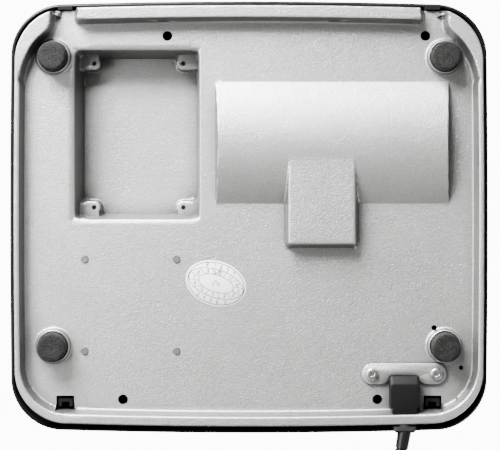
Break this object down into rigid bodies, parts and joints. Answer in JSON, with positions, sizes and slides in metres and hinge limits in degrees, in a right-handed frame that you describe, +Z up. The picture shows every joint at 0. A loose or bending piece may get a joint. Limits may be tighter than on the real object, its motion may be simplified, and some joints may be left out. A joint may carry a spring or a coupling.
{
  "type": "platform shipping scale",
  "caption": "Low weighing platform: cast base with pocket and bulge on rubber feet, bending-beam load cell, black moulded platform cover, rear signal cord.",
  "frame": {"origin": "middle of the platform's outline, at the ground under the feet", "axes": "+Z up out of the platform; +X along the longer side; -Y is the front with the rim notches; +Y is the rear where the cord leaves"},
  "size_m": [0.31, 0.425, 0.058],
  "materials": {
    "cast_metal": "fine-grained die casting with silver-grey paint",
    "rubber_feet": "matt black moulded rubber",
    "aluminium_block": "machined aluminium",
    "zinc_steel": "zinc-plated steel",
    "black_plastic": "glossy black moulded plastic",
    "mat_rubber": "ribbed matt black rubber",
    "board": "green lacquered board",
    "dark_chip": "matt black moulding",
    "white_plastic": "white nylon",
    "cord_jacket": "glossy black cable jacket",
    "sticker_paper": "white printed film"
  },
  "bodies": {
    "base": {"base_floor": "cast_metal", "base_wall": "cast_metal", "base_pocket": "cast_metal", "base_bulge": "cast_metal", "foot_front_left": "rubber_feet", "foot_front_right": "rubber_feet", "foot_rear_left": "rubber_feet", "foot_rear_right": "rubber_feet", "load_cell": "aluminium_block", "gauge_covers": "white_plastic", "cell_base_bolts": "zinc_steel", "overload_screws": "zinc_steel", "overload_nuts": "zinc_steel", "circuit_board": "board", "board_screws": "zinc_steel", "board_chip": "dark_chip", "board_header": "white_plastic", "board_output_header": "white_plastic", "board_capacitors": "dark_chip", "cell_lead": "cord_jacket", "inner_lead": "cord_jacket", "clamp_plate": "zinc_steel", "clamp_screws": "zinc_steel", "cable_block": "black_plastic", "cord_bushing": "black_plastic", "cord_boot": "cord_jacket", "signal_cord": "cord_jacket", "cord_tail": "cord_jacket", "cord_coil": "cord_jacket", "cord_tie": "dark_chip", "plug_shell": "zinc_steel", "plug_core": "dark_chip", "date_sticker": "sticker_paper"},
    "platform": {"platform_cover": "black_plastic", "cover_skirt": "black_plastic", "cover_legs": "black_plastic", "leg_screws": "zinc_steel", "top_mat": "mat_rubber", "cover_pads": "rubber_feet", "carrier_plate": "zinc_steel", "carrier_ribs": "zinc_steel", "cell_top_spacer": "zinc_steel", "cell_top_bolts": "zinc_steel"},
    "coupling_ring": {"plug_ring": "zinc_steel"}
  },
  "joints": [
    {"name": "platform_deflection", "type": "slide", "parent": "base", "child": "platform", "axis": [0, 0, 1], "range_m": [-0.0008, 0], "stiffness_N_per_m": 400000, "deforming": ["load_cell"]},
    {"name": "coupling_ring_turn", "type": "hinge", "parent": "base", "child": "coupling_ring", "pos_m": [0.117, 0.2164, 0.007], "axis": [0, -1, 0], "continuous": true}
  ]
}
